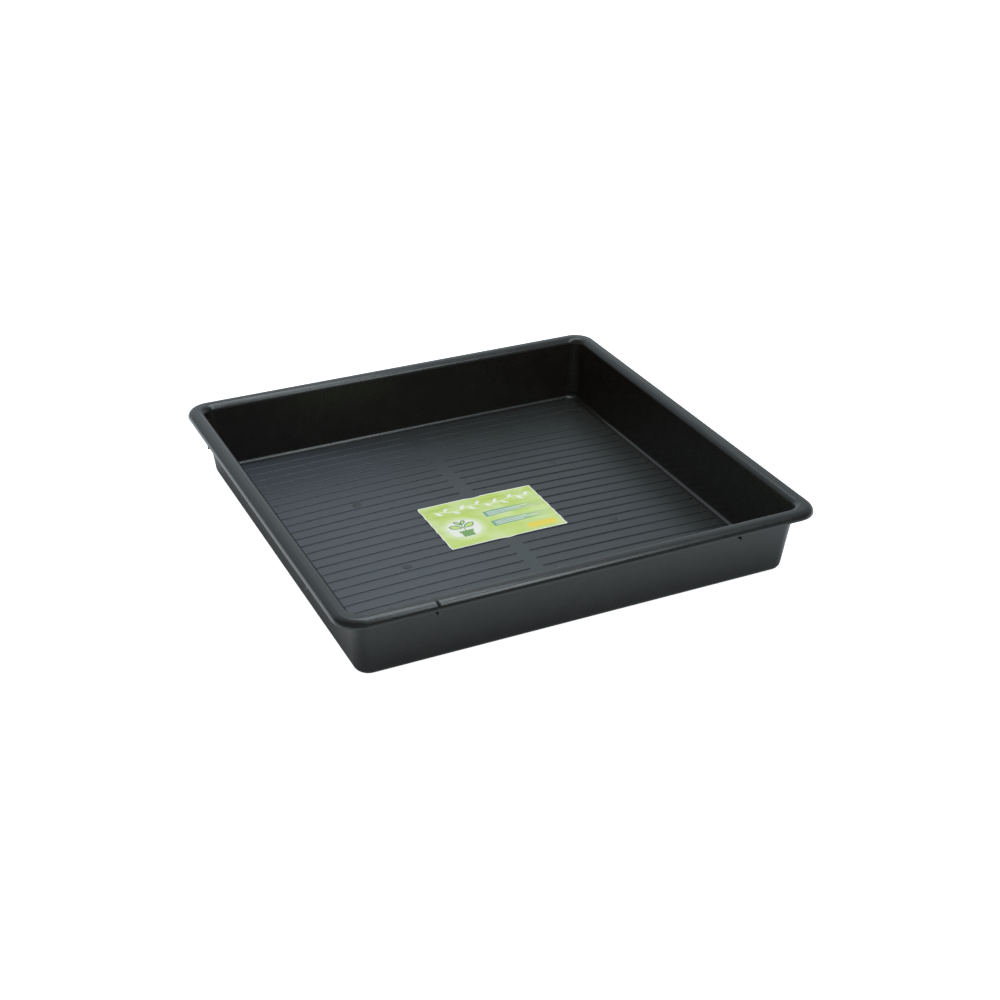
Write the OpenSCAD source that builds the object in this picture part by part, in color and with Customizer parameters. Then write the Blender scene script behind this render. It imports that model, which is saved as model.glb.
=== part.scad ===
// Square garden tray: one moulding with drafted walls, a rolled rim and a ribbed, crowned floor,
// and the paper label stuck to its floor.
// Millimetres, +Z up. The origin is the middle of the footprint, on the ground.

/* [Tray] */
// Width across the rim, left to right
tray_w = 800; // [500:10:1200]
// Depth across the rim, front to back
tray_d = 800; // [500:10:1200]
// Height from the ground to the top of the rim
tray_h = 118; // [80:1:200]
// Thickness of the walls and the floor
wall_t = 2.8; // [2:0.1:4]
// Slope of the walls from upright, in degrees
wall_draft = 6.25; // [3:0.25:12]
// Outside radius of the upright corners of the walls
corner_r = 24; // [18:1:45]
// Outside radius where the walls turn into the base
base_r = 12; // [7:0.5:16]

/* [Rim] */
// Radius of the rolled rim
bead_r = 12; // [10:0.5:18]
// Thickness of the rolled rim
bead_t = 2.6; // [2:0.1:4]
// Flat strip along the crest of the rim
crest_w = 4.5; // [1:0.5:6]
// How far the rim comes down on the outside, at most by its radius
rim_drop = 12; // [5:0.5:18]
// Outside radius of the rim at the corners
rim_corner_r = 40; // [32:1:60]

/* [Floor] */
// Height by which the middle of the floor is crowned
crown_h = 8.5; // [3:0.5:14]
// Flat margin between the crown and the fillet at the foot of the walls
crown_margin = 5; // [3:1:20]
// Distance from one rib to the next
rib_pitch = 25.1; // [18:0.1:50]
// Width of a rib
rib_w = 3; // [2:0.1:6]
// Height of a rib above the floor
rib_h = 1.6; // [0.8:0.1:3]
// Plain strip between the left and right ribs
rib_gap = 24; // [10:1:60]
// Distance from the ends of the ribs to the fillet
rib_margin = 4; // [2:1:20]
// Diameter of the four round moulding pads
pad_dia = 15; // [8:1:20]
// Height of the pads above the floor
pad_h = 0.5; // [0.3:0.1:1.5]
// Distance of the pads to the left and right of the middle
pad_x = 186; // [100:1:210]

/* [Lugs] */
// Distance of the stacking lugs from the middle of each side
lug_x = 252; // [100:1:300]
// Thickness of a lug
lug_t = 3; // [2:0.5:6]
// How far a lug hangs below the edge of the rim
lug_drop = 8; // [4:1:25]
// How much lower a lug ends at the wall than at its tip
lug_slope = 4; // [0:1:15]
// Width of the nick across the front rim
nick_w = 1.6; // [0.8:0.2:4]
// Depth of the nick
nick_depth = 0.7; // [0.3:0.1:1.5]

/* [Label] */
// Length of the label, left to right
label_w = 210; // [100:1:297]
// Height of the label, front to back
label_d = 148; // [80:1:210]
// Thickness of the label
label_t = 0.4; // [0.2:0.1:1]
// Radius of the corners of the label
label_r = 2; // [1:0.5:10]
// Place of the label's middle to the right of the tray's middle
label_x = 2.7; // [-60:0.1:60]
// Place of the label's middle behind the tray's middle
label_y = -26.5; // [-60:0.1:60]
// Film of glue between the ribs and the label
glue_t = 0.1; // [0.05:0.05:0.3]

/* [Hidden] */

// Smoothness of true curves, of the children of a hull, and of the very flat arc of the crown
$fn = 96;
hull_fn = 32;
arc_fn = 3600;

// Overrun of cuts and depth to which added pieces sink into what carries them
overrun = 1;

// The rim's section, measured inward from its outer edge
drop = min(rim_drop, bead_r);
bead_out = sqrt(bead_r ^ 2 - (bead_r - drop) ^ 2);
bead_in = bead_out + crest_w;
rim_w = bead_in + bead_r;
bead_z = tray_h - bead_r;
rim_low = tray_h - drop;

// The walls' section: outward faces at the join with the rim, and what the draft adds further down
wall_in_r = corner_r - wall_t;
corner_c = rim_w + wall_in_r;
base_in_r = base_r - wall_t;
function draft_run(z) = (bead_z - z) * tan(wall_draft);
function foot_inset(face, r, z) = face + draft_run(z) + r / cos(wall_draft);
outer_foot = foot_inset(rim_w - wall_t, base_r, base_r);
inner_foot = foot_inset(rim_w, base_in_r, wall_t + base_in_r);

// The flat of the floor inside the fillet, and the crown on it
flat_w = tray_w - 2 * inner_foot;
flat_d = tray_d - 2 * inner_foot;
crown_reach = min(flat_w, flat_d) / 2 - crown_margin;
crown_arc_r = (crown_reach ^ 2 + crown_h ^ 2) / (2 * crown_h);
function crown_z(x, y) = sqrt(crown_arc_r ^ 2 - x ^ 2 - y ^ 2) - (crown_arc_r - crown_h);

// Steps of each quarter of a lug's outline
lug_steps = 6;

// Ribs and pads
rib_rows = floor((flat_d / 2 - rib_margin) / rib_pitch);
rib_end = flat_w / 2 - rib_margin;
pad_y = (floor(rib_rows / 3) + 1 / 2) * rib_pitch;
rib_top = wall_t + rib_h;

// A rectangle with round corners, seen from above
module rounded_plan(w, d, r) {
  square([w - 2 * r, d], center = true);
  square([w, d - 2 * r], center = true);
  for (sx = [-1, 1], sy = [-1, 1])
    translate([sx * (w / 2 - r), sy * (d / 2 - r)])
      circle(r);
}

// Repeats its children, made for the back right corner, at all four corners
module at_corners() {
  for (mx = [0, 1], my = [0, 1])
    mirror([mx, 0, 0])
      mirror([0, my, 0])
        children();
}

// A quarter turn of a section about a corner centre that lies c in from the rim's outer edges
module corner_sweep(c) {
  at_corners()
    translate([tray_w / 2 - c, tray_d / 2 - c, 0])
      rotate_extrude(angle = 90)
        translate([c, 0])
          mirror([1, 0])
            children();
}

// Straight runs of the same section along the four sides
module side_runs(c) {
  for (turn = [0, 1]) {
    front = turn == 0 ? tray_d : tray_w;
    along = (turn == 0 ? tray_w : tray_d) - 2 * c;
    for (half = [0, 2])
      rotate([0, 0, 90 * (turn + half)])
        translate([0, -front / 2, 0])
          rotate([90, 0, 90])
            linear_extrude(along, center = true)
              children();
  }
}

// Half of the rolled rim: a ring's section, cut at its lower edge, with the flat strip beside it
module bead_section(centre, side, low) {
  translate([centre, bead_z]) {
    intersection() {
      difference() {
        circle(bead_r);
        circle(bead_r - bead_t);
      }
      translate([side < 0 ? -bead_r : 0, low - bead_z])
        square([bead_r, tray_h - low]);
    }
    translate([side < 0 ? 0 : -crest_w, bead_r - bead_t])
      square([crest_w, bead_t]);
  }
}

module outer_bead() {
  bead_section(bead_out, -1, rim_low);
}

module inner_bead() {
  bead_section(bead_in, 1, bead_z);
}

// The flat of the crest, which widens at the corners because the two halves turn about other centres
module crest() {
  outer = bead_out + crest_w / 4;
  inner = bead_in - crest_w / 4;
  translate([0, 0, tray_h - bead_t])
    linear_extrude(bead_t)
      difference() {
        rounded_plan(tray_w - 2 * outer, tray_d - 2 * outer, rim_corner_r - outer);
        rounded_plan(tray_w - 2 * inner, tray_d - 2 * inner, corner_c - inner);
      }
}

module rim() {
  side_runs(rim_corner_r)
    outer_bead();
  corner_sweep(rim_corner_r)
    outer_bead();
  side_runs(corner_c)
    inner_bead();
  corner_sweep(corner_c)
    inner_bead();
  crest();
}

// A drafted box with round corners and a rounded foot, from its foot up to the rim
module drafted_box(face, r, foot, foot_r, z, top_z, top_h) {
  hull()
    at_corners() {
      translate([tray_w / 2 - foot - (r - foot_r), tray_d / 2 - foot - (r - foot_r), z + foot_r])
        rotate_extrude($fn = hull_fn)
          translate([r - foot_r, 0])
            intersection() {
              circle(foot_r, $fn = hull_fn);
              translate([0, -foot_r])
                square([foot_r, 2 * foot_r]);
            }
      translate([tray_w / 2 - face - r, tray_d / 2 - face - r, top_z])
        cylinder(h = top_h, r = r, $fn = hull_fn);
    }
}

module wall_shell() {
  difference() {
    drafted_box(rim_w - wall_t, corner_r, outer_foot, base_r, 0, bead_z - overrun, overrun);
    drafted_box(rim_w, wall_in_r, inner_foot, base_in_r, wall_t, bead_z, overrun);
  }
}

// The lens by which the floor rises, standing on the ground plane and reaching a little below it
module crown() {
  rotate_extrude()
    intersection() {
      translate([0, crown_h - crown_arc_r])
        circle(crown_arc_r, $fn = arc_fn);
      translate([0, -overrun])
        square([crown_reach + overrun, crown_h + overrun]);
    }
}

// Everything lower than a skin that lies h above the crowned floor
module below_skin(h) {
  translate([0, 0, wall_t + h])
    crown();
  translate([0, 0, wall_t - overrun])
    linear_extrude(h + overrun)
      square([flat_w, flat_d], center = true);
}

// The side of a rib in the row at y, outward from the middle gap: its top follows the crown
module rib_side(y) {
  intersection() {
    union() {
      translate([0, rib_top + crown_h - crown_arc_r])
        circle(sqrt(crown_arc_r ^ 2 - y ^ 2), $fn = arc_fn);
      translate([0, wall_t - overrun])
        square([rib_end, rib_h + overrun]);
    }
    translate([rib_gap / 2, wall_t - overrun / 2])
      square([rib_end - rib_gap / 2, crown_h + rib_h + overrun]);
  }
}

module ribs() {
  for (row = [-rib_rows:rib_rows], side = [0, 1])
    translate([0, row * rib_pitch, 0])
      mirror([side, 0, 0])
        rotate([90, 0, 0])
          linear_extrude(rib_w, center = true)
            rib_side(row * rib_pitch);
}

// Round pads left by the mould, midway between two ribs
module pads() {
  for (sx = [-1, 1], sy = [-1, 1])
    translate([sx * pad_x, sy * pad_y, wall_t])
      cylinder(h = crown_z(pad_x, pad_y) + pad_h, d = pad_dia);
}

// A lug's outline, inward from the rim's outer edge and up: it fills the bead to half its skin
module lug_plan() {
  mid_r = bead_r - bead_t / 2;
  tip = bead_out - sqrt(mid_r ^ 2 - (rim_low - bead_z) ^ 2);
  tip_angle = acos((tip - bead_out) / mid_r);
  tip_z = rim_low - lug_drop;
  foot_z = tip_z - lug_slope;
  polygon(concat(
    [[tip, tip_z]],
    [for (k = [0:lug_steps]) arc_point(bead_out, mid_r, tip_angle + (90 - tip_angle) * k / lug_steps)],
    [for (k = [0:lug_steps]) arc_point(bead_in, mid_r, 90 * (1 - k / lug_steps))],
    [[rim_w - wall_t / 2 + draft_run(foot_z), foot_z]]
  ));
}

function arc_point(centre, r, angle) = [centre + r * cos(angle), bead_z + r * sin(angle)];

module lugs() {
  for (turn = [0:3], place = [-1, 1])
    rotate([0, 0, 90 * turn])
      translate([place * lug_x, -(turn % 2 == 0 ? tray_d : tray_w) / 2, 0])
        rotate([90, 0, 90])
          linear_extrude(lug_t, center = true)
            lug_plan();
}

// A fine nick across the front rim, above the left lug
module nick() {
  translate([-lug_x, -tray_d / 2 + bead_out, bead_z])
    rotate([90, 0, 90])
      linear_extrude(nick_w, center = true)
        difference() {
          circle(bead_r + overrun);
          circle(bead_r - nick_depth);
          translate([0, -bead_r - overrun])
            square([bead_r + overrun, 2 * (bead_r + overrun)]);
          translate([-bead_r - overrun, -bead_r - 2 * overrun])
            square([bead_r + overrun, bead_r + overrun]);
        }
}

// The walls and the floor as one skin of even thickness, with what stands on the floor
module shell() {
  difference() {
    union() {
      wall_shell();
      below_skin(0);
      ribs();
      pads();
    }
    crown();
  }
}

module tray() {
  color([0.13, 0.14, 0.15]) {
    difference() {
      rim();
      nick();
    }
    lugs();
    shell();
  }
}

// The label follows the crown, on top of the ribs
module label() {
  color([0.78, 0.86, 0.42])
    difference() {
      intersection() {
        below_skin(rib_h + glue_t + label_t);
        translate([label_x, label_y, rib_top])
          linear_extrude(crown_h + rib_h)
            rounded_plan(label_w, label_d, label_r);
      }
      below_skin(rib_h + glue_t);
    }
}

tray();
label();
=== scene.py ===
import math

import bmesh
import bpy
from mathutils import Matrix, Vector, noise


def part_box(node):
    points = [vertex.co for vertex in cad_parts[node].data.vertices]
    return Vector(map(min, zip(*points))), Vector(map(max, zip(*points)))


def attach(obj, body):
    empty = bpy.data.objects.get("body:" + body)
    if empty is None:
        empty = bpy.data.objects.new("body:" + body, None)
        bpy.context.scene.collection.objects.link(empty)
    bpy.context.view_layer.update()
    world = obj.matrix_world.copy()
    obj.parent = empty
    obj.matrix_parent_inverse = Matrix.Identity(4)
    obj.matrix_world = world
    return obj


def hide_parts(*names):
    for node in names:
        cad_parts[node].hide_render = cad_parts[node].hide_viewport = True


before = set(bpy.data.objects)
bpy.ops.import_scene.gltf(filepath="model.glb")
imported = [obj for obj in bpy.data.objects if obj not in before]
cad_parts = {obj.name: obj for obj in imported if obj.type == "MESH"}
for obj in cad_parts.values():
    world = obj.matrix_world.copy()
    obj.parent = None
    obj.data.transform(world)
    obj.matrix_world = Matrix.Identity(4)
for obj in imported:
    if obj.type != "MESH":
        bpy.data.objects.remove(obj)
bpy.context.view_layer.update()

# A square garden tray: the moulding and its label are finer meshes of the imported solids.
# Lengths are in metres and angles in degrees, unless a comment says otherwise. An inset is measured
# inward from the tray's outer edge.
MM = 0.001
low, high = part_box("tray")
HALF_W = (high.x - low.x) / 2
HALF_D = (high.y - low.y) / 2
HEIGHT = high.z

# The walls
WALL_T = 2.8 * MM
DRAFT = math.radians(6.25)
WALL_CORNER = 24 * MM
BASE_OUT_R = 12 * MM
BASE_IN_R = 6 * MM

# The rolled rim
BEAD_R = 12 * MM
BEAD_T = 2.6 * MM
BEAD_IN_R = BEAD_R - BEAD_T
CREST = 4.5 * MM
RIM_DROP = 12 * MM
RIM_CORNER = 40 * MM
LIP_ROUND = 0.8 * MM
BEAD_Z = HEIGHT - BEAD_R
LIP_Z = HEIGHT - RIM_DROP
BEAD_OUT = math.sqrt(BEAD_R ** 2 - (LIP_Z - BEAD_Z) ** 2)
BEAD_IN = BEAD_OUT + CREST
RIM_W = BEAD_IN + BEAD_R
INNER_CORNER = RIM_W + WALL_CORNER - WALL_T

# The foot of the walls, inside and outside
FOOT_IN = RIM_W + (BEAD_Z - WALL_T - BASE_IN_R) * math.tan(DRAFT) + BASE_IN_R / math.cos(DRAFT)
FOOT_OUT = RIM_W - WALL_T + (BEAD_Z - BASE_OUT_R) * math.tan(DRAFT) + BASE_OUT_R / math.cos(DRAFT)
FOOT_CORNER = WALL_CORNER - BASE_OUT_R
FOOT_CORNER_IN = WALL_CORNER - WALL_T - BASE_IN_R

# The section's points: steps of its arcs, shares of the way down a wall, the angle at which the hollow
# under the bead meets the wall, and how far the lip's round edge turns past its sides
FILLET_STEPS = 10
BEAD_IN_STEPS = 16
BEAD_OUT_STEPS = 14
HOLLOW_STEPS = 8
LIP_STEPS = 3
WALL_SHARES = (0.02, 0.5, 0.98)
HOLLOW_END = 4
LIP_TILT = 15

# The floor, with its crown and its ribs
CROWN = 8.5 * MM
CROWN_REACH = 351.9 * MM
RIB_PITCH = 25.1 * MM
RIB_ROWS = 13
RIB_H = 1.6 * MM
RIB_GAP = 12 * MM
RIB_END = 347.5 * MM

# A rib's shape: how much of its height it has at offsets from its middle line, and from either end
RIB_OFFSETS = [k * MM for k in (-3.2, -2.0, -1.5, -1.25, -0.85, 0, 0.85, 1.25, 1.5, 2.0, 3.2)]
RIB_SHARES = [0, 0, 0.12, 0.82, 0.99, 1, 0.99, 0.82, 0.12, 0, 0]
END_OFFSETS = [k * MM for k in (-2.6, -1.4, -0.4, 0.2, 1, 2, 4)]
END_SHARES = [0, 0, 0.2, 0.65, 0.95, 1, 1]

# The pads: place of one of the four, size, and the rings of its soft edge as shares of radius and height
PAD_X = 186 * MM
PAD_Y = 4.5 * RIB_PITCH
PAD_R = 7.5 * MM
PAD_H = 0.5 * MM
PAD_RINGS = ((1, -1.2), (1, 0.4), (0.97, 0.8), (0.9, 1))
PAD_STEPS = 40

# Lugs under the rim, and the nick above one of them
LUG_X = 252 * MM
LUG_T = 3 * MM
LUG_DROP = 8 * MM
LUG_SLOPE = 4 * MM
LUG_SOFT = 0.35 * MM
LUG_START = 155
LUG_OUT_STEPS = 5
LUG_IN_STEPS = 6
NICK_HALF = 1.4 * MM
NICK_DEPTH = 0.8 * MM
NICK_PLACES = (-2.5, -1, -0.5, 0, 0.5, 1, 2.5)

# The label: its grid's cells, and how it sags between the ribs and in their middle gap
LABEL_LOW, LABEL_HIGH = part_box("label")
PAPER_CELLS = (84, 74)
PAPER_T = 0.3 * MM
PAPER_LIFT = 0.1 * MM
PAPER_SAG = 1.35 * MM
PAPER_GAP = 16 * MM
PAPER_ROUND = 2 * MM
SAG_POWER = 1.2
GAP_POWER = 1.5
DRIFT_MEAN = 0.85
DRIFT_SWING = 0.3
DRIFT_SCALE = 9

# Reach and steps of the grids, in whole millimetres
FLOOR_REACH = 350
EVEN_REACH = 320
STATION_STEP = 40
COLUMN_STEP = 20
UNDER_STEP = 35
FLOOR_EDGE = FLOOR_REACH * MM
STATION_KEEP = EVEN_REACH * MM
LAST_COLUMN = 337 * MM
CORNER_STEPS = 10
SMOOTH_ANGLE = 40


def evenly(first, last, step):
    """Places from first to last, all three in whole millimetres."""
    return [k * MM for k in range(first, last + 1, step)]


# Places along a side where the rings of the moulding have points
STATIONS = evenly(-EVEN_REACH, EVEN_REACH, STATION_STEP)
STATIONS += [-LUG_X + k * NICK_HALF for k in NICK_PLACES]
STATIONS.sort()


# Mesh of the moulding
def section_arc(inset, z, radius, start, end, steps, corner_c):
    """Points (inset, z, corner radius) on an arc of the wall's section; angle 0 points inward."""
    points = []
    for k in range(steps + 1):
        a = math.radians(start + (end - start) * k / steps)
        x = inset + radius * math.cos(a)
        points.append((x, z + radius * math.sin(a), abs(corner_c - x)))
    return points


def foot_arc(inset, z, radius, start, end, corner):
    """The same for a fillet at the walls' foot, whose corner radius shrinks inward from there."""
    arc = section_arc(inset, z, radius, start, end, FILLET_STEPS, 0)
    return [(x, z, corner + inset - x) for x, z, _ in arc]


def wall_points(top, foot):
    """Points on the straight stretch between two points of the section."""
    return [tuple(a + (b - a) * share for a, b in zip(top, foot)) for share in WALL_SHARES]


def section():
    """The moulding's section as a list of rings, from the floor up the inside, over the rim and down."""
    lean = 180 + math.degrees(DRAFT)
    fillet_in = foot_arc(FOOT_IN, WALL_T + BASE_IN_R, BASE_IN_R, 270, lean, FOOT_CORNER_IN)
    inner_bead = section_arc(BEAD_IN, BEAD_Z, BEAD_R, 0, 90, BEAD_IN_STEPS, INNER_CORNER)
    outer_bead = section_arc(BEAD_OUT, BEAD_Z, BEAD_R, 90, 180 - lip_angle(BEAD_R), BEAD_OUT_STEPS,
                             RIM_CORNER)
    inside_skirt = section_arc(BEAD_OUT, BEAD_Z, BEAD_IN_R, 180 - lip_angle(BEAD_IN_R), 90,
                               HOLLOW_STEPS, RIM_CORNER)
    under_bead = section_arc(BEAD_IN, BEAD_Z, BEAD_IN_R, 90, HOLLOW_END, HOLLOW_STEPS, INNER_CORNER)
    base = foot_arc(FOOT_OUT, BASE_OUT_R, BASE_OUT_R, lean, 270, FOOT_CORNER)
    outer_top = (RIM_W - WALL_T, BEAD_Z, WALL_CORNER)
    flat_in = (FOOT_IN + MM, WALL_T, FOOT_CORNER_IN - MM)
    flat_out = (FOOT_OUT + MM, 0.0, FOOT_CORNER - MM)
    rings = [flat_in] + fillet_in + wall_points(fillet_in[-1], inner_bead[0])
    rings += inner_bead + outer_bead + lip() + inside_skirt + under_bead
    rings += [outer_top] + wall_points(outer_top, base[0]) + base + [flat_out]
    return rings


def lip_angle(radius):
    """Angle above the horizontal at which a circle of the bead reaches the lip's round edge."""
    return math.degrees(math.asin((LIP_Z + LIP_ROUND - BEAD_Z) / radius))


def lip():
    """The rounded lower edge of the rim."""
    z = LIP_Z + LIP_ROUND
    outer = BEAD_OUT - math.sqrt(BEAD_R ** 2 - (z - BEAD_Z) ** 2)
    inner = BEAD_OUT - math.sqrt(BEAD_IN_R ** 2 - (z - BEAD_Z) ** 2)
    points = section_arc(outer + LIP_ROUND, z, LIP_ROUND, 180 + LIP_TILT, 270, LIP_STEPS, RIM_CORNER)
    points += section_arc(inner - LIP_ROUND, z, LIP_ROUND, 270, 360 - LIP_TILT, LIP_STEPS, RIM_CORNER)
    return points


def nick_depth(x, inset, z):
    """How far the nick pulls a point of the front rim towards the bead's middle."""
    if z < BEAD_Z or inset > BEAD_OUT:
        return 0.0
    return NICK_DEPTH * max(0.0, 1 - abs(x + LUG_X) / NICK_HALF)


def stretch(station, straight, reach):
    """A station's place on a side whose straight part ends at straight."""
    if abs(station) <= STATION_KEEP:
        return station
    share = (abs(station) - STATION_KEEP) / (reach - STATION_KEEP)
    return math.copysign(STATION_KEEP + share * (straight - STATION_KEEP), station)


def ring(inset, z, corner):
    """A ring of the moulding as a list of (point, parameter), the parameter growing by 1 a side."""
    half_w, half_d = HALF_W - inset, HALF_D - inset
    reach = FLOOR_EDGE
    points = []
    for side in range(4):
        along, across = (half_w, half_d) if side % 2 == 0 else (half_d, half_w)
        straight = along - corner
        for s in [-reach] + STATIONS + [reach]:
            t = stretch(s, straight, reach)
            points.append((Vector((t, -across, z)), side, s))
        for k in range(1, CORNER_STEPS):
            a = math.radians(-90 + 90 * k / CORNER_STEPS)
            x = straight + corner * math.cos(a)
            y = -across + corner + corner * math.sin(a)
            points.append((Vector((x, y, z)), side, reach))
    placed = []
    for p, side, s in points:
        if side == 0:
            depth = nick_depth(p.x, inset, z)
            if depth:
                centre = Vector((p.x, -HALF_D + BEAD_OUT, BEAD_Z))
                p = p + (centre - p).normalized() * depth
        placed.append((turned(p, side), side + (s / reach + 1) / 2))
    return placed


def turned(p, side):
    """A point made for the front side, moved to another side of the square tray."""
    for _ in range(side):
        p = Vector((-p.y, p.x, p.z))
    return p


def crown(x, y):
    """How far the crown lifts the floor at a place."""
    share_x = max(0.0, 1 - (x / CROWN_REACH) ** 2)
    share_y = max(0.0, 1 - (y / CROWN_REACH) ** 2)
    return CROWN * share_x * share_y


def floor_columns():
    """Places across the floor: evenly apart, and closer at both ends of the ribs."""
    ends = [RIB_GAP + o for o in END_OFFSETS] + [RIB_END - o for o in END_OFFSETS]
    half = ends + evenly(COLUMN_STEP, EVEN_REACH, COLUMN_STEP) + [LAST_COLUMN, FLOOR_EDGE]
    half = sorted(x for x in half if x <= FLOOR_EDGE)
    return [-x for x in reversed(half)] + [0.0] + half


def floor_rows():
    """Places along the floor with the rib's height share at each."""
    rows = [(-FLOOR_EDGE, 0), (FLOOR_EDGE, 0)]
    for k in range(-RIB_ROWS, RIB_ROWS + 1):
        rows += [(k * RIB_PITCH + o, s) for o, s in zip(RIB_OFFSETS, RIB_SHARES)]
        rows.append(((k + 0.5) * RIB_PITCH, 0))
    rows.append(((-RIB_ROWS - 0.5) * RIB_PITCH, 0))
    return sorted(rows)


def end_share(x):
    """The share of its height that a rib has at x: 0 in the middle gap and past its end."""
    x = abs(x)
    for edge, sign in ((RIB_GAP, 1), (RIB_END, -1)):
        o = (x - edge) * sign
        if o <= END_OFFSETS[0]:
            return 0.0
        if o < END_OFFSETS[-1]:
            for a, b, s, t in zip(END_OFFSETS, END_OFFSETS[1:], END_SHARES, END_SHARES[1:]):
                if o <= b:
                    return s + (t - s) * max(0.0, o - a) / (b - a)
    return 1.0


def grid(bm, columns, rows, height):
    """A grid of faces; returns its boundary as a loop of (vertex, parameter) like a ring's."""
    verts = [[bm.verts.new((x, y, height(x, y, s))) for x in columns] for y, s in rows]
    for j in range(len(rows) - 1):
        for i in range(len(columns) - 1):
            bm.faces.new((verts[j][i], verts[j][i + 1], verts[j + 1][i + 1], verts[j + 1][i]))
    part = [(x / FLOOR_EDGE + 1) / 2 for x in columns]
    up = [(y / FLOOR_EDGE + 1) / 2 for y, _ in rows]
    loop = [(v, p) for v, p in zip(verts[0], part)]
    loop += [(row[-1], 1 + p) for row, p in zip(verts[1:], up[1:])]
    loop += [(v, 3 - p) for v, p in zip(reversed(verts[-1][:-1]), reversed(part[:-1]))]
    loop += [(row[0], 4 - p) for row, p in zip(reversed(verts[1:-1]), reversed(up[1:-1]))]
    return loop


def zip_loops(bm, outer, inner):
    """Closes the strip between two loops of (vertex, parameter) with triangles."""
    outer = outer + [(outer[0][0], outer[0][1] + 4)]
    inner = inner + [(inner[0][0], inner[0][1] + 4)]
    i = j = 0
    while i < len(outer) - 1 or j < len(inner) - 1:
        inner_done = j == len(inner) - 1
        step_outer = inner_done or (i < len(outer) - 1 and outer[i + 1][1] <= inner[j + 1][1])
        a, b = outer[i][0], inner[j][0]
        if step_outer:
            i += 1
            bm.faces.new((a, outer[i][0], b))
        else:
            j += 1
            bm.faces.new((a, inner[j][0], b))


def band(bm, a, b):
    """A closed band of faces between two loops with as many vertices."""
    for k in range(len(a)):
        n = (k + 1) % len(a)
        bm.faces.new((a[k], a[n], b[n], b[k]))


def join_rings(bm, rings):
    """The moulding between its first and last ring, which are returned as loops."""
    loops = [[(bm.verts.new(p), t) for p, t in r] for r in rings]
    for a, b in zip(loops, loops[1:]):
        band(bm, [v for v, _ in a], [v for v, _ in b])
    return loops[0], loops[-1]


def add_pad(bm, x, y):
    """A round pad with a soft edge, sunk into the floor."""
    z = WALL_T + crown(x, y)
    angles = [math.tau * k / PAD_STEPS for k in range(PAD_STEPS)]
    loops = []
    for share, up in PAD_RINGS:
        r = PAD_R * share
        loops.append([bm.verts.new((x + r * math.cos(a), y + r * math.sin(a), z + PAD_H * up))
                      for a in angles])
    for a, b in zip(loops, loops[1:]):
        band(bm, a, b)
    bm.faces.new(loops[-1])
    bm.faces.new(list(reversed(loops[0])))


def add_lug(bm, side, place):
    """A thin fin that closes the hollow of the bead and hangs below the rim."""
    mid = BEAD_R - BEAD_T / 2
    tip = BEAD_OUT - math.sqrt(mid ** 2 - (LIP_Z - BEAD_Z) ** 2)
    foot_z = LIP_Z - LUG_DROP - LUG_SLOPE
    foot = RIM_W - WALL_T / 2 + (BEAD_Z - foot_z) * math.tan(DRAFT)
    over_bead = section_arc(BEAD_OUT, BEAD_Z, mid, LUG_START, 90, LUG_OUT_STEPS, 0)
    over_bead += section_arc(BEAD_IN, BEAD_Z, mid, 90, 0, LUG_IN_STEPS, 0)
    outline = [(tip, LIP_Z - LUG_DROP)] + [p[:2] for p in over_bead] + [(foot, foot_z)]
    a, b = ([bm.verts.new(turned(Vector((place + off, -HALF_D + x, z)), side)) for x, z in outline]
            for off in (-LUG_T / 2, LUG_T / 2))
    flanks = [bm.faces.new(list(reversed(a))), bm.faces.new(b)]
    band(bm, a, b)
    edges = [e for f in flanks for e in f.edges]
    bmesh.ops.bevel(bm, geom=edges, offset=LUG_SOFT, segments=2, affect="EDGES")


def finish_mesh(name, bm):
    """Makes the object, smooth but for its sharp edges."""
    bmesh.ops.recalc_face_normals(bm, faces=bm.faces)
    mesh = bpy.data.meshes.new(name)
    bm.to_mesh(mesh)
    bm.free()
    obj = bpy.data.objects.new(name, mesh)
    bpy.context.scene.collection.objects.link(obj)
    mesh.shade_smooth()
    mesh.set_sharp_from_angle(angle=math.radians(SMOOTH_ANGLE))
    return obj


def build_tray():
    """The moulding: rings for walls and rim, a grid for the floor's top and one for its underside."""
    bm = bmesh.new()
    inner, outer = join_rings(bm, [ring(*r) for r in section()])
    top = grid(bm, floor_columns(), floor_rows(),
               lambda x, y, s: WALL_T + crown(x, y) + RIB_H * s * end_share(x))
    plain = evenly(-FLOOR_REACH, FLOOR_REACH, UNDER_STEP)
    under = grid(bm, plain, [(y, 0) for y in plain], lambda x, y, s: crown(x, y))
    zip_loops(bm, inner, top)
    zip_loops(bm, outer, under)
    for sx in (-1, 1):
        for sy in (-1, 1):
            add_pad(bm, sx * PAD_X, sy * PAD_Y)
    for side in range(4):
        for place in (-LUG_X, LUG_X):
            add_lug(bm, side, place)
    return finish_mesh("moulded_tray", bm)


# Mesh of the label
def paper_height(x, y):
    """Underside of the paper: it lies on the ribs and sags between them and in their middle gap."""
    ribs = WALL_T + RIB_H + crown(x, y)
    between = (0.5 - 0.5 * math.cos(math.tau * y / RIB_PITCH)) ** SAG_POWER
    in_gap = max(0.0, 1 - (x / PAPER_GAP) ** 2) ** GAP_POWER
    drift = DRIFT_MEAN + DRIFT_SWING * noise.noise(Vector((x * DRIFT_SCALE, y * DRIFT_SCALE, 0.3)))
    return ribs + PAPER_LIFT - PAPER_SAG * max(between * drift, in_gap)


def rounded_place(x, y):
    """Pulls a point of the label's grid inside its rounded corners."""
    cx = min(max(x, LABEL_LOW.x + PAPER_ROUND), LABEL_HIGH.x - PAPER_ROUND)
    cy = min(max(y, LABEL_LOW.y + PAPER_ROUND), LABEL_HIGH.y - PAPER_ROUND)
    out = Vector((x - cx, y - cy))
    if out.length > PAPER_ROUND:
        out = out.normalized() * PAPER_ROUND
    return cx + out.x, cy + out.y


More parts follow.
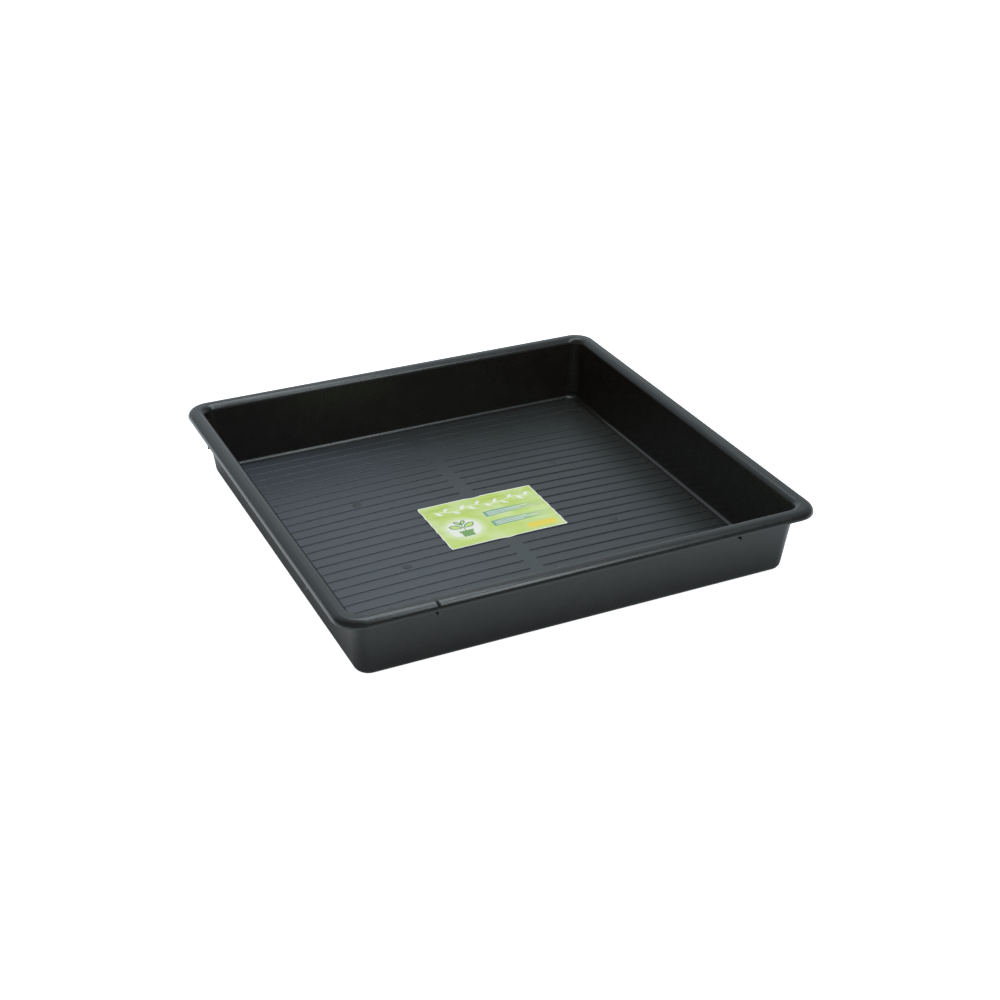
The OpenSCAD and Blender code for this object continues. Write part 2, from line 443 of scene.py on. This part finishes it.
def rim_of(rows):
    """The border of a grid's rows of vertices, as one loop."""
    loop = rows[0][:-1] + [r[-1] for r in rows[:-1]]
    return loop + rows[-1][:0:-1] + [r[0] for r in rows[:0:-1]]


def build_label():
    """The label: an underside, a face and an edge, with the print's place as its UV map."""
    bm = bmesh.new()
    uv = bm.loops.layers.uv.new("print")
    size_x, size_y = LABEL_HIGH.x - LABEL_LOW.x, LABEL_HIGH.y - LABEL_LOW.y
    nx, ny = PAPER_CELLS
    levels = []
    for up in (0.0, PAPER_T):
        rows = []
        for j in range(ny + 1):
            row = []
            for i in range(nx + 1):
                x, y = rounded_place(LABEL_LOW.x + size_x * i / nx, LABEL_LOW.y + size_y * j / ny)
                row.append(bm.verts.new((x, y, paper_height(x, y) + up)))
            rows.append(row)
        levels.append(rows)
    for rows, flip in zip(levels, (True, False)):
        for j in range(ny):
            for i in range(nx):
                quad = [rows[j][i], rows[j][i + 1], rows[j + 1][i + 1], rows[j + 1][i]]
                bm.faces.new(list(reversed(quad)) if flip else quad)
    band(bm, *(rim_of(rows) for rows in levels))
    for face in bm.faces:
        for loop in face.loops:
            co = loop.vert.co
            loop[uv].uv = ((co.x - LABEL_LOW.x) / size_x, (co.y - LABEL_LOW.y) / size_y)
    return finish_mesh("printed_label", bm)


# Helpers for materials
def new_material(name):
    mat = bpy.data.materials.new(name)
    mat.use_nodes = True
    mat.node_tree.nodes.clear()
    return mat, mat.node_tree


def node(tree, kind, settings=None, **inputs):
    """Adds a node. An input is a value or another node's output; it goes by its name, with underscores
    for spaces, or by its place as i0, i1 and so on."""
    n = tree.nodes.new(kind)
    for key, value in (settings or {}).items():
        setattr(n, key, value)
    for key, value in inputs.items():
        by_place = key[0] == "i" and key[1:].isdigit()
        socket = n.inputs[int(key[1:])] if by_place else n.inputs[key.replace("_", " ")]
        if isinstance(value, bpy.types.NodeSocket):
            tree.links.new(value, socket)
        else:
            socket.default_value = value
    return n


def math_node(tree, op, *values):
    return node(tree, "ShaderNodeMath", {"operation": op},
                **{f"i{k}": v for k, v in enumerate(values)}).outputs[0]


def add(tree, a, b):
    return math_node(tree, "ADD", a, b)


def subtract(tree, a, b):
    return math_node(tree, "SUBTRACT", a, b)


def multiply(tree, a, b):
    return math_node(tree, "MULTIPLY", a, b)


def absolute(tree, value):
    return math_node(tree, "ABSOLUTE", value)


def together(tree, masks):
    """The largest of several masks or values."""
    whole = masks[0]
    for mask in masks[1:]:
        whole = math_node(tree, "MAXIMUM", whole, mask)
    return whole


def axes_of(tree, place):
    """The X, Y and Z of a place."""
    return node(tree, "ShaderNodeSeparateXYZ", Vector=place).outputs


def scaled(tree, place, by):
    """A place with each axis multiplied by a number of its own."""
    return node(tree, "ShaderNodeVectorMath", {"operation": "MULTIPLY"}, i0=place,
                i1=by).outputs["Vector"]


def from_middle(tree, axes):
    """How far a place is from the tray's middle, the same all along a square round it."""
    return together(tree, [absolute(tree, axes["X"]), absolute(tree, axes["Y"])])


def ramp(tree, value, low_in, high_in, low_out, high_out):
    """Maps a value from one range to another, clamped, with a smooth start and end."""
    return node(tree, "ShaderNodeMapRange", {"interpolation_type": "SMOOTHSTEP"}, Value=value,
                From_Min=low_in, From_Max=high_in, To_Min=low_out, To_Max=high_out).outputs["Result"]


def cloud(tree, place, scale, detail=3.0, roughness=0.5):
    return node(tree, "ShaderNodeTexNoise", Vector=place, Scale=scale, Detail=detail,
                Roughness=roughness).outputs["Fac"]


def blend(tree, factor, under, over):
    """Mixes two colours, each a node's output or three numbers."""
    under, over = (c if isinstance(c, bpy.types.NodeSocket) else (*c, 1) for c in (under, over))
    return node(tree, "ShaderNodeMix", {"data_type": "RGBA"}, Factor=factor, A=under,
                B=over).outputs["Result"]


def bump(tree, height, distance, below=None, strength=0.5):
    more = {"Normal": below} if below else {}
    return node(tree, "ShaderNodeBump", Height=height, Strength=strength, Distance=distance,
                **more).outputs["Normal"]


def disc(tree, point, x, y, radius, soft):
    """A round mask with its middle at (x, y)."""
    far = node(tree, "ShaderNodeVectorMath", {"operation": "DISTANCE"}, i0=point,
               i1=(x, y, 0)).outputs["Value"]
    return ramp(tree, far, radius - soft, radius + soft, 1.0, 0.0)


def finish_material(tree, **surface):
    shader = node(tree, "ShaderNodeBsdfPrincipled", **surface)
    out = node(tree, "ShaderNodeOutputMaterial")
    tree.links.new(shader.outputs[0], out.inputs["Surface"])


# The plastic: its darkest and palest tone, the floor's plain tone and its tone with dust and painted
# light, its painted cool tint of the room's light, and its roughness on walls and rim and on the floor
PLASTIC_DARK = (0.0088, 0.0076, 0.0057)
PLASTIC_PALE = (0.0122, 0.0106, 0.0083)
FLOOR_TONE = (0.0255, 0.0305, 0.0295)
DUST_AND_LIGHT_TONE = (0.0560, 0.0680, 0.0810)
# A painted cool tint of the room's light, in every reflection of the plastic
COOL_LIGHT_TINT = (0.92, 0.985, 1.0, 1)
WALL_ROUGH = 0.25
FLOOR_ROUGH = 0.38
COATED_IOR = 1.5

# The height, and the distance from the middle, over which the floor's texture ends
TEXTURE_TOP = (0.013, 0.024)
TEXTURE_EDGE = (0.344, 0.354)

# Broad clouds and small patches: their scale, the part of their range that is used, and how much they
# change the roughness
BROAD_SCALE = 5.0
BROAD_RANGE = (0.3, 0.7)
BROAD_ROUGH = 0.02
PATCH_SCALE = 38.0
PATCH_TONE_RANGE = (0.3, 0.75)
PATCH_ROUGH_RANGE = (0.35, 0.7)
PATCH_ROUGH = 0.03

# Dust and painted light on the floor: where they thin out to the right and grow to the back, their share
# on the left, how many times that it is at the back, and what the clouds of dust add
DUST_AND_LIGHT_X = (-0.30, 0.15)
DUST_AND_LIGHT_Y = (0.05, 0.30)
DUST_AND_LIGHT_LEFT = 0.64
DUST_AND_LIGHT_BACK = 1.2
DUST_CLOUDS = 0.12

# Painted shade: the floor's tone gives way to the darker plastic by its right and back walls: where, and
# how much is left. The back one starts nearer on the left, by the slant.
WALL_SHADE_X = (0.25, 0.335)
WALL_SHADE_RIGHT = 0.25
WALL_SHADE_Y = (0.24, 0.31)
WALL_SHADE_BACK = 0.55
WALL_SHADE_SLANT = 0.3

# The pads are darker and smoother than the floor
PAD_SOFT = 0.4 * MM
PAD_DARK = 0.8
PAD_GLOSS = 0.09

# Scuffs: tone, stretch and turn in radians of both directions, and where the noises let them through
SCUFF_TONE = (0.045, 0.046, 0.045)
SCUFF_WAYS = (((14, 90, 90), 0.5), ((90, 14, 90), 2.1))
SCUFF_SCALE = 4.0
SCUFF_RANGE = (0.70, 0.76)
SCUFF_AREA_SCALE = 9.0
SCUFF_AREA_RANGE = (0.54, 0.68)
SCUFF_MOST = 0.35

# The surface swells a little and has a fine grain, which is fainter on walls and rim
SWELL_HEIGHT = 0.25 * MM
GRAIN_SCALE = 1400.0
GRAIN_HEIGHT = 0.02 * MM
GRAIN_STRENGTH = 0.2
GRAIN_ON_WALLS = 0.2


def scuff_mask(tree, place):
    """Sparse short scratches in two directions, where a slow noise lets them through."""
    masks = []
    for stretched, turn in SCUFF_WAYS:
        turned_place = node(tree, "ShaderNodeVectorRotate", {"rotation_type": "Z_AXIS"},
                            Vector=place, Angle=turn).outputs["Vector"]
        lines = cloud(tree, scaled(tree, turned_place, stretched), SCUFF_SCALE, 2.0)
        masks.append(ramp(tree, lines, *SCUFF_RANGE, 0.0, 1.0))
    here = ramp(tree, cloud(tree, place, SCUFF_AREA_SCALE, 2.0), *SCUFF_AREA_RANGE, 0.0, SCUFF_MOST)
    return multiply(tree, together(tree, masks), here)


def dust_and_light_mask(tree, axes, broad):
    """Dust and painted light: a paler floor on the left and a little more at the back, in faint clouds.
    """
    across = ramp(tree, axes["X"], *DUST_AND_LIGHT_X, DUST_AND_LIGHT_LEFT, 0.0)
    along = ramp(tree, axes["Y"], *DUST_AND_LIGHT_Y, 1.0, DUST_AND_LIGHT_BACK)
    clouds = ramp(tree, broad, *BROAD_RANGE, 0.0, DUST_CLOUDS)
    return add(tree, multiply(tree, across, along), clouds)


def wall_shade_mask(tree, axes):
    """Painted shade: how much of the floor's tone is left by its right and back walls."""
    left_part = math_node(tree, "MINIMUM", axes["X"], 0.0)
    back_part = math_node(tree, "MULTIPLY_ADD", left_part, WALL_SHADE_SLANT, axes["Y"])
    return multiply(tree, ramp(tree, axes["X"], *WALL_SHADE_X, 1.0, WALL_SHADE_RIGHT),
                    ramp(tree, back_part, *WALL_SHADE_Y, 1.0, WALL_SHADE_BACK))


def plastic_material():
    """Black plastic: matter where the floor of the mould was textured, smoother on walls and rim."""
    mat, tree = new_material("satin_black_plastic")
    place = node(tree, "ShaderNodeTexCoord").outputs["Object"]
    axes = axes_of(tree, place)
    on_floor = multiply(tree, ramp(tree, axes["Z"], *TEXTURE_TOP, 1.0, 0.0),
                        ramp(tree, from_middle(tree, axes), *TEXTURE_EDGE, 1.0, 0.0))
    broad = cloud(tree, place, BROAD_SCALE)
    patchy = cloud(tree, place, PATCH_SCALE, 4.0, 0.6)
    quarter = node(tree, "ShaderNodeVectorMath", {"operation": "ABSOLUTE"},
                   i0=scaled(tree, place, (1, 1, 0))).outputs["Vector"]
    pads = disc(tree, quarter, PAD_X, PAD_Y, PAD_R, PAD_SOFT)

    tone = blend(tree, ramp(tree, patchy, *PATCH_TONE_RANGE, 0.0, 1.0), PLASTIC_DARK, PLASTIC_PALE)
    # Dust and painted light make the floor paler towards the left and the back.
    floor_tone = blend(tree, dust_and_light_mask(tree, axes, broad), FLOOR_TONE, DUST_AND_LIGHT_TONE)
    # Painted shade by the floor's right and back walls gives its tone back to the darker plastic.
    tone = blend(tree, multiply(tree, on_floor, wall_shade_mask(tree, axes)), tone, floor_tone)
    tone = blend(tree, multiply(tree, pads, PAD_DARK), tone, PLASTIC_DARK)
    tone = blend(tree, scuff_mask(tree, place), tone, SCUFF_TONE)

    clouds = add(tree, ramp(tree, broad, *BROAD_RANGE, -BROAD_ROUGH, BROAD_ROUGH),
                 ramp(tree, patchy, *PATCH_ROUGH_RANGE, 0.0, PATCH_ROUGH))
    rough = add(tree, ramp(tree, on_floor, 0.0, 1.0, WALL_ROUGH, FLOOR_ROUGH), clouds)
    rough = subtract(tree, rough, multiply(tree, pads, PAD_GLOSS))

    grain = multiply(tree, cloud(tree, place, GRAIN_SCALE, 2.0),
                     ramp(tree, on_floor, 0.0, 1.0, GRAIN_ON_WALLS, 1.0))
    swell = bump(tree, broad, SWELL_HEIGHT)
    surface = bump(tree, grain, GRAIN_HEIGHT, swell, GRAIN_STRENGTH)
    finish_material(tree, Base_Color=tone, Roughness=rough, IOR=COATED_IOR,
                    Specular_Tint=COOL_LIGHT_TINT, Normal=surface)
    return mat


# The label's print, laid out in millimetres from its front left corner
PRINT_W, PRINT_D = 210, 148
PRINT_SOFT = 0.3
PAPER_WHITE = (0.84, 0.87, 0.78)
LIME = (0.44, 0.62, 0.055)
PALE_LIME = (0.54, 0.71, 0.15)
PALE = (0.66, 0.80, 0.40)
LEAF_GREEN = (0.13, 0.33, 0.06)
DARK_GREEN = (0.04, 0.20, 0.13)
TEAL = (0.13, 0.36, 0.25)
YELLOW = (0.80, 0.66, 0.04)

# The green ground, from front to back, and what the wash and the streaks add to it
GROUND_Y = (30, 150)
GROUND_SHARE = (0.75, 0.15)
WASH_SCALE = 0.018
WASH_RANGE = (0.35, 0.7)
WASH_MOST = 0.8
STREAK_SCALE = 0.14
STREAK_STRETCH = (0.12, 1.0, 1.0)
STREAK_RANGE = (0.5, 0.75)
STREAK_MOST = 0.5

# The sprig: its line, the wave and half thickness of its stem, the stem's reach from the middle, and its
# leaves' number, first place, step, offset from the stem, length and width, and angle
SPRIG_Y = 119
SPRIG_WAVE = 3.5
SPRIG_RATE = 0.085
SPRIG_STEM = (0.5, 1.0)
SPRIG_REACH = (86, 88)
SPRIG_LEAVES = 12
SPRIG_FIRST = 22
SPRIG_STEP = 15
SPRIG_OFFSET = (5, 6.5)
SPRIG_LEAF = (15, 6.5)
SPRIG_ANGLE = 48

# The seedling: its middle, radius and softness of the pale discs behind it, and from that middle the
# rectangles of stem and pot and the leaves. A leaf's inner part is smaller by its border.
SEEDLING_X, SEEDLING_Y = 46, 56
HALO = (37, 6)
WHITE_DISC = (29, 3)
STEM_AND_POT = ((-0.9, -12, 1.8, 26), (-10, -27, 20, 15), (-12.5, -13, 25, 5))
SEEDLING_LEAVES = ((-12, 8, 24, 13, -28), (12, 8, 24, 13, 28), (-5, 19, 17, 8, -58), (5, 19, 17, 8, 58))
LEAF_BORDER = (5, 4)

# The bars, which fade to the right, with plain lines on them as front edge and width, the yellow panel
# and the white border
BARS = ((96, 76, 112, 18), (96, 42, 112, 18))
BAR_FADE_X = (120, 205)
BAR_FADE = 0.1
LINES = ((88, 76), (83.5, 62), (79, 84), (54, 58), (49.5, 78), (45, 50))
LINES_X = 101
LINE_DEPTH = 2.2
LINE_SHARE = 0.8
YELLOW_PANEL = (146, 12, 52, 15)
BORDER = 2
BORDER_SOFT = 0.2

# The ink's fine mottle, and the paper's roughness
INK_SCALE = 1.1
INK_RANGE = (0.35, 0.75)
INK_PALE = 0.16
INK_ROUGH_RANGE = (0.3, 0.7)
INK_ROUGH = (0.32, 0.42)
INK_HEIGHT = 0.02 * MM


def leaf(tree, point, x, y, length, width, angle):
    """The overlap of two discs, pointed at both ends, with its middle at (x, y)."""
    radius = (length ** 2 + width ** 2) / (4 * width)
    a = math.radians(angle)
    off = radius - width / 2
    off_x, off_y = -math.sin(a) * off, math.cos(a) * off
    return multiply(tree, disc(tree, point, x + off_x, y + off_y, radius, PRINT_SOFT),
                    disc(tree, point, x - off_x, y - off_y, radius, PRINT_SOFT))


def panel(tree, axes, x, y, width, depth, soft=PRINT_SOFT):
    """A rectangle with its front left corner at (x, y)."""
    across = absolute(tree, subtract(tree, axes["X"], x + width / 2))
    along = absolute(tree, subtract(tree, axes["Y"], y + depth / 2))
    return multiply(tree, ramp(tree, across, width / 2 - soft, width / 2 + soft, 1.0, 0.0),
                    ramp(tree, along, depth / 2 - soft, depth / 2 + soft, 1.0, 0.0))


def sprig(tree, point, axes):
    """A white sprig along the back of the label: a waving stem with leaves on both sides."""
    wave = multiply(tree, math_node(tree, "SINE", multiply(tree, axes["X"], SPRIG_RATE)), SPRIG_WAVE)
    off = absolute(tree, subtract(tree, subtract(tree, axes["Y"], SPRIG_Y), wave))
    reach = absolute(tree, subtract(tree, axes["X"], PRINT_W / 2))
    masks = [multiply(tree, ramp(tree, off, *SPRIG_STEM, 1.0, 0.0),
                      ramp(tree, reach, *SPRIG_REACH, 1.0, 0.0))]
    forward, out = SPRIG_OFFSET
    for k in range(SPRIG_LEAVES):
        x = SPRIG_FIRST + SPRIG_STEP * k
        side = 1 if k % 2 else -1
        y = SPRIG_Y + SPRIG_WAVE * math.sin(SPRIG_RATE * x) + side * out
        masks.append(leaf(tree, point, x + forward, y, *SPRIG_LEAF, side * SPRIG_ANGLE))
    return together(tree, masks)


def seedling(tree, point, axes, colour):
    """A pale disc with a potted seedling at the left of the label."""
    x, y = SEEDLING_X, SEEDLING_Y
    colour = blend(tree, disc(tree, point, x, y, *HALO), colour, PALE)
    colour = blend(tree, disc(tree, point, x, y, *WHITE_DISC), colour, PAPER_WHITE)
    parts = [panel(tree, axes, x + left, y + front, w, d) for left, front, w, d in STEM_AND_POT]
    colour = blend(tree, together(tree, parts), colour, LEAF_GREEN)
    less_length, less_width = LEAF_BORDER
    for right, up, length, width, angle in SEEDLING_LEAVES:
        whole = leaf(tree, point, x + right, y + up, length, width, angle)
        inside = leaf(tree, point, x + right, y + up, length - less_length, width - less_width, angle)
        colour = blend(tree, whole, colour, DARK_GREEN)
        colour = blend(tree, inside, colour, PALE_LIME)
    return colour


def label_material():
    """Coated paper with a generic print in greens."""
    mat, tree = new_material("printed_paper")
    spread = node(tree, "ShaderNodeUVMap", {"uv_map": "print"}).outputs["UV"]
    point = scaled(tree, spread, (PRINT_W, PRINT_D, 0))
    axes = axes_of(tree, point)
    wash = cloud(tree, point, WASH_SCALE, 2.0)
    streaks = cloud(tree, scaled(tree, point, STREAK_STRETCH), STREAK_SCALE, 3.0)
    ink = cloud(tree, point, INK_SCALE, 3.0, 0.7)

    colour = blend(tree, ramp(tree, axes["Y"], *GROUND_Y, *GROUND_SHARE), LIME, PALE_LIME)
    colour = blend(tree, ramp(tree, wash, *WASH_RANGE, 0.0, WASH_MOST), colour, PALE)
    colour = blend(tree, ramp(tree, streaks, *STREAK_RANGE, 0.0, STREAK_MOST), colour, PALE_LIME)
    colour = blend(tree, sprig(tree, point, axes), colour, PAPER_WHITE)
    colour = seedling(tree, point, axes, colour)

    bars = together(tree, [panel(tree, axes, *bar) for bar in BARS])
    fade = ramp(tree, axes["X"], *BAR_FADE_X, 1.0, BAR_FADE)
    colour = blend(tree, multiply(tree, bars, fade), colour, TEAL)
    lines = together(tree, [panel(tree, axes, LINES_X, y, width, LINE_DEPTH) for y, width in LINES])
    colour = blend(tree, multiply(tree, lines, LINE_SHARE), colour, PAPER_WHITE)
    colour = blend(tree, panel(tree, axes, *YELLOW_PANEL), colour, YELLOW)

    inside = panel(tree, axes, BORDER, BORDER, PRINT_W - 2 * BORDER, PRINT_D - 2 * BORDER, BORDER_SOFT)
    colour = blend(tree, inside, PAPER_WHITE, colour)
    colour = blend(tree, ramp(tree, ink, *INK_RANGE, 0.0, INK_PALE), colour, PAPER_WHITE)
    finish_material(tree, Base_Color=colour, Roughness=ramp(tree, ink, *INK_ROUGH_RANGE, *INK_ROUGH),
                    IOR=COATED_IOR, Normal=bump(tree, ink, INK_HEIGHT))
    return mat


# The camera, with its focal length in pixels of the frame
CAMERA_AZIMUTH = -25.23
CAMERA_ELEVATION = 28.42
CAMERA_PLACE = (-1.01573, -2.21957, 1.35165)
FOCAL_PIXELS = 1648.73
FRAME_PIXELS = 1000
SENSOR = 36

# The stage floor: how far it reaches and how far it lies under the tray, its own colour, and the glow
# that the camera sees
FLOOR_SIZE = 12.0
FLOOR_DROP = 0.3 * MM
FLOOR_COLOUR = (0.75, 0.81, 0.86, 1)
FLOOR_SEEN = 0.93

# The glow that gloss mirrors in the stage floor, a painted reflection with a painted shade by the tray:
# it grows from the tray's foot outward, with painted extra light left of the tray, and turns from a warm
# tint by the tray to a cool one further out.
FLOOR_MIRRORED = 0.55
FLOOR_SHADE_START = HALF_W - 0.04
FLOOR_SHADE_END = FLOOR_SHADE_START + 0.15
FLOOR_LEFT_LIGHT = 0.35
FLOOR_LEFT_LIGHT_X = (-0.53, -0.37)
FLOOR_WARM = (1.0, 0.97, 0.90)
FLOOR_WARM_END = HALF_W + 0.12
FLOOR_COOL = (0.92, 1.0, 1.04)

# The room: an even level on matt surfaces. In gloss it has a bright backdrop behind and is dimmer in
# front, and it is a little less bright low down, high up and on the right: each share is followed by the
# part of a direction's Z or X over which it sets in.
ROOM_LEVEL = 0.55
ROOM_BRIGHT = 0.94
ROOM_DIM = 0.28
ROOM_TINT = (0.87, 0.985, 1.07)
ROOM_LOW = 0.95
ROOM_LOW_Z = (-0.05, 0.38)
ROOM_HIGH = 0.85
ROOM_HIGH_Z = (0.38, 0.56)
ROOM_RIGHT = 0.65
ROOM_RIGHT_X = (0.40, 0.62)
BACKDROP_AZIMUTH = 30
BACKDROP_ELEVATION = 38
BACKDROP_RANGE = (0.15, 0.87)

# The softboxes that hang level over the tray and in front of it: place, size, turn and radiance
OVERHEAD_BOX = ((0.39, 0.50, 2.2), (0.48, 2.5), 4, 4.8)
FRONT_BOX = ((0.93, -1.85, 2.2), (0.60, 1.75), 14, 6.6)
BOX_COLOUR = (0.96, 1.0, 1.03)
WHITE = (1, 1, 1)


def add_camera():
    data = bpy.data.cameras.new("camera")
    data.sensor_width = SENSOR
    data.lens = FOCAL_PIXELS / FRAME_PIXELS * SENSOR
    cam = bpy.data.objects.new("camera", data)
    cam.location = CAMERA_PLACE
    cam.rotation_euler = (math.radians(90 - CAMERA_ELEVATION), 0, math.radians(CAMERA_AZIMUTH))
    bpy.context.scene.collection.objects.link(cam)
    bpy.context.scene.camera = cam


def floor_material():
    """A matt pale floor that also glows, for the camera and for gloss."""
    mat, tree = new_material("pale_floor")
    path = node(tree, "ShaderNodeLightPath").outputs
    axes = axes_of(tree, node(tree, "ShaderNodeTexCoord").outputs["Object"])
    far = from_middle(tree, axes)
    # In gloss: painted shade at the tray's foot, and painted extra light left of the tray
    mirrored = add(tree, ramp(tree, far, FLOOR_SHADE_START, FLOOR_SHADE_END, 0.0, FLOOR_MIRRORED),
                   ramp(tree, axes["X"], *FLOOR_LEFT_LIGHT_X, FLOOR_LEFT_LIGHT, 0.0))
    glow = add(tree, multiply(tree, path["Is Camera Ray"], FLOOR_SEEN),
               multiply(tree, path["Is Glossy Ray"], mirrored))
    near = ramp(tree, far, FLOOR_SHADE_START, FLOOR_WARM_END, 1.0, 0.0)
    tint = blend(tree, path["Is Glossy Ray"], WHITE, blend(tree, near, FLOOR_COOL, FLOOR_WARM))
    diffuse = node(tree, "ShaderNodeBsdfDiffuse", Color=FLOOR_COLOUR).outputs[0]
    glowing = node(tree, "ShaderNodeEmission", Color=tint, Strength=glow).outputs[0]
    both = node(tree, "ShaderNodeAddShader", i0=diffuse, i1=glowing).outputs[0]
    out = node(tree, "ShaderNodeOutputMaterial")
    tree.links.new(both, out.inputs["Surface"])
    return mat


def add_floor():
    mesh = bpy.data.meshes.new("floor")
    corners = [(x * FLOOR_SIZE, y * FLOOR_SIZE, -FLOOR_DROP)
               for x, y in ((-1, -1), (1, -1), (1, 1), (-1, 1))]
    mesh.from_pydata(corners, [], [(0, 1, 2, 3)])
    floor = bpy.data.objects.new("floor", mesh)
    bpy.context.scene.collection.objects.link(floor)
    floor.data.materials.append(floor_material())


def add_world():
    world = bpy.data.worlds.new("studio")
    bpy.context.scene.world = world
    world.use_nodes = True
    tree = world.node_tree
    tree.nodes.clear()
    path = node(tree, "ShaderNodeLightPath").outputs
    way = node(tree, "ShaderNodeTexCoord").outputs["Generated"]
    a, e = math.radians(BACKDROP_AZIMUTH), math.radians(BACKDROP_ELEVATION)
    backdrop = (math.sin(a) * math.cos(e), math.cos(a) * math.cos(e), math.sin(e))
    facing = node(tree, "ShaderNodeVectorMath", {"operation": "DOT_PRODUCT"}, i0=way,
                  i1=backdrop).outputs["Value"]
    sides, _, height = axes_of(tree, way)
    studio = ramp(tree, facing, *BACKDROP_RANGE, ROOM_DIM, ROOM_BRIGHT)
    studio = multiply(tree, studio, ramp(tree, height, *ROOM_LOW_Z, ROOM_LOW, 1.0))
    studio = multiply(tree, studio, ramp(tree, height, *ROOM_HIGH_Z, 1.0, ROOM_HIGH))
    studio = multiply(tree, studio, ramp(tree, sides, *ROOM_RIGHT_X, 1.0, ROOM_RIGHT))
    seen = together(tree, [path["Is Camera Ray"], path["Is Transmission Ray"]])
    level = add(tree, ROOM_LEVEL, multiply(tree, seen, 1 - ROOM_LEVEL))
    mirrored = multiply(tree, path["Is Glossy Ray"], subtract(tree, studio, ROOM_LEVEL))
    tint = blend(tree, path["Is Glossy Ray"], WHITE, ROOM_TINT)
    back = node(tree, "ShaderNodeBackground", Color=tint, Strength=add(tree, level, mirrored))
    out = node(tree, "ShaderNodeOutputWorld")
    tree.links.new(back.outputs[0], out.inputs["Surface"])


def add_softbox(name, place, size, turn, radiance):
    """A level softbox whose face has an even radiance."""
    data = bpy.data.lights.new(name, "AREA")
    data.shape = "RECTANGLE"
    data.size, data.size_y = size
    data.energy = radiance * math.pi * size[0] * size[1]
    data.color = BOX_COLOUR
    lamp = bpy.data.objects.new(name, data)
    lamp.location = place
    lamp.rotation_euler = (0, 0, math.radians(turn))
    bpy.context.scene.collection.objects.link(lamp)


tray = build_tray()
tray.data.materials.append(plastic_material())
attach(tray, "root")
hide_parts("tray")

label = build_label()
label.data.materials.append(label_material())
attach(label, "root")
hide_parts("label")

add_camera()
add_floor()
add_world()
add_softbox("overhead_softbox", *OVERHEAD_BOX)
add_softbox("front_softbox", *FRONT_BOX)

bpy.context.scene.view_settings.view_transform = "Standard"
